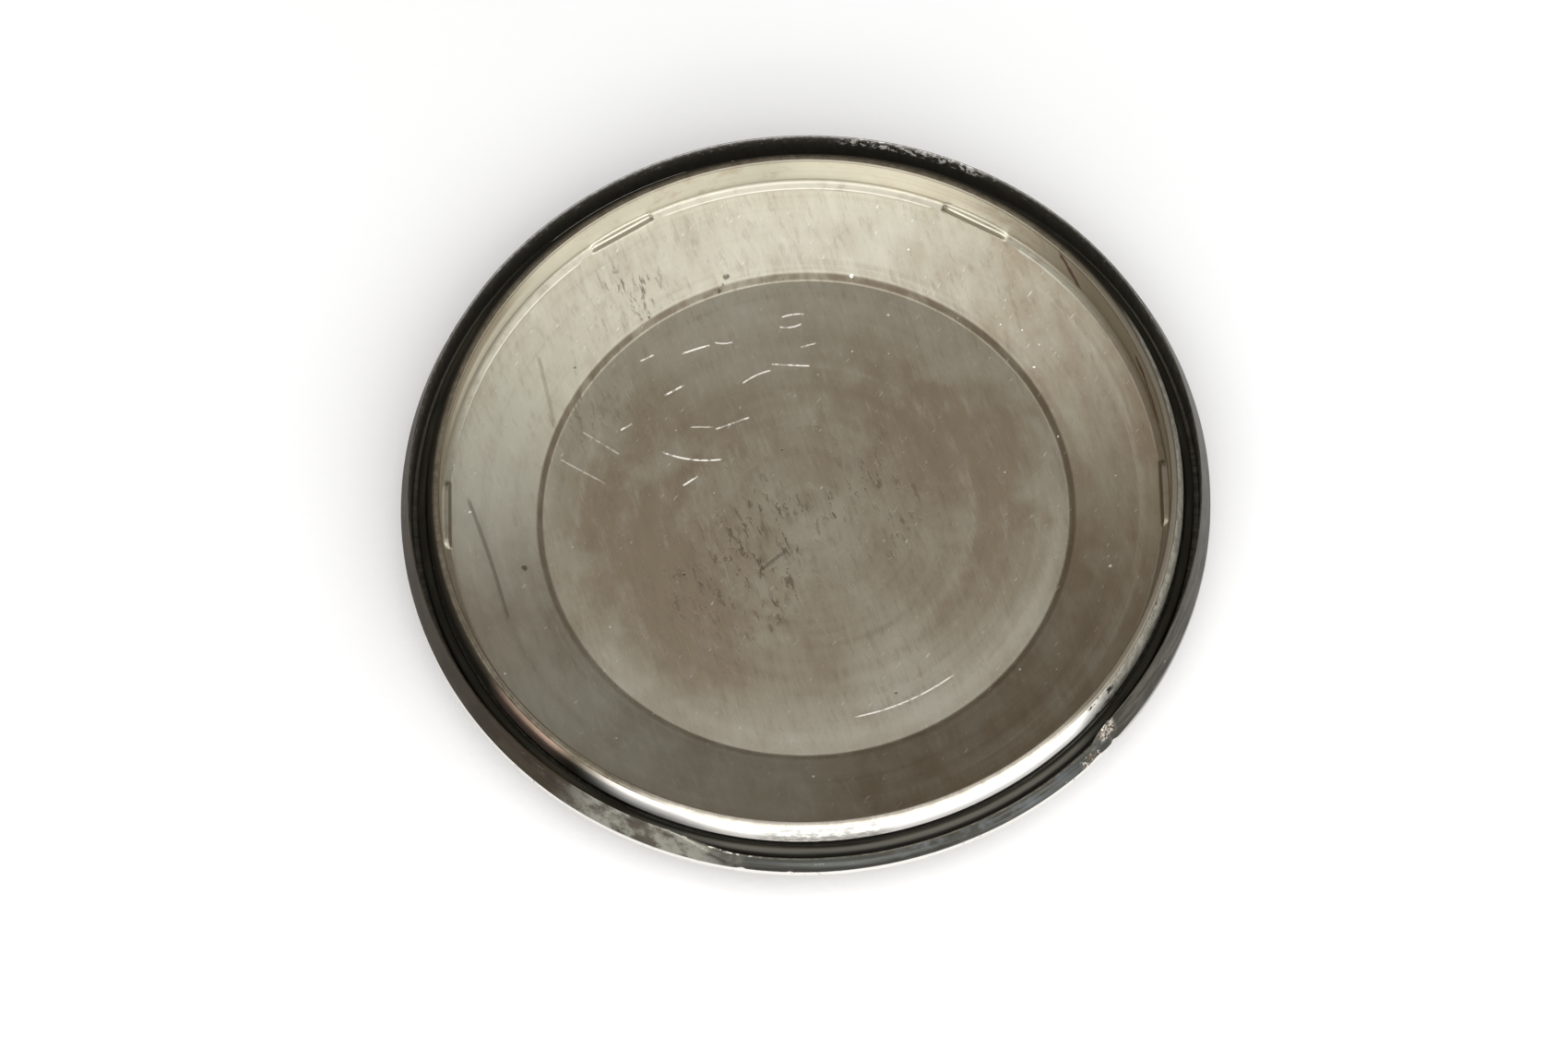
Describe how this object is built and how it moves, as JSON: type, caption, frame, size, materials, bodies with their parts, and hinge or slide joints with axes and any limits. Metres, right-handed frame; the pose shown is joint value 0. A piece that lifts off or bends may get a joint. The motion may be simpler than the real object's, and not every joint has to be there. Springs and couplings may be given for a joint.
{
  "type": "watch case back",
  "caption": "Round clip-in watch case back, inner side up: dished steel cup with a snap wall, a gasket groove, an outer ring with a knife notch, and a rubber gasket.",
  "frame": {"origin": "centre of the flat outside face that the part rests on, which is the bottom centre of its box", "axes": "+Z along the part's axis, from the outside face towards the inside of the watch; the knife notch lies towards -Y"},
  "size_m": [0.034, 0.034, 0.0038],
  "materials": {
    "steel": "worn, stained stainless steel with a fine rolled grain and scratches",
    "rubber": "matt black, dusty, slightly greasy"
  },
  "bodies": {
    "case_back": {"case_back": "steel"},
    "gasket": {"gasket": "rubber"}
  },
  "joints": [
    {"name": "gasket_lift", "type": "slide", "parent": "case_back", "child": "gasket", "axis": [0, 0, 1], "range_m": [0, 0.005]}
  ]
}
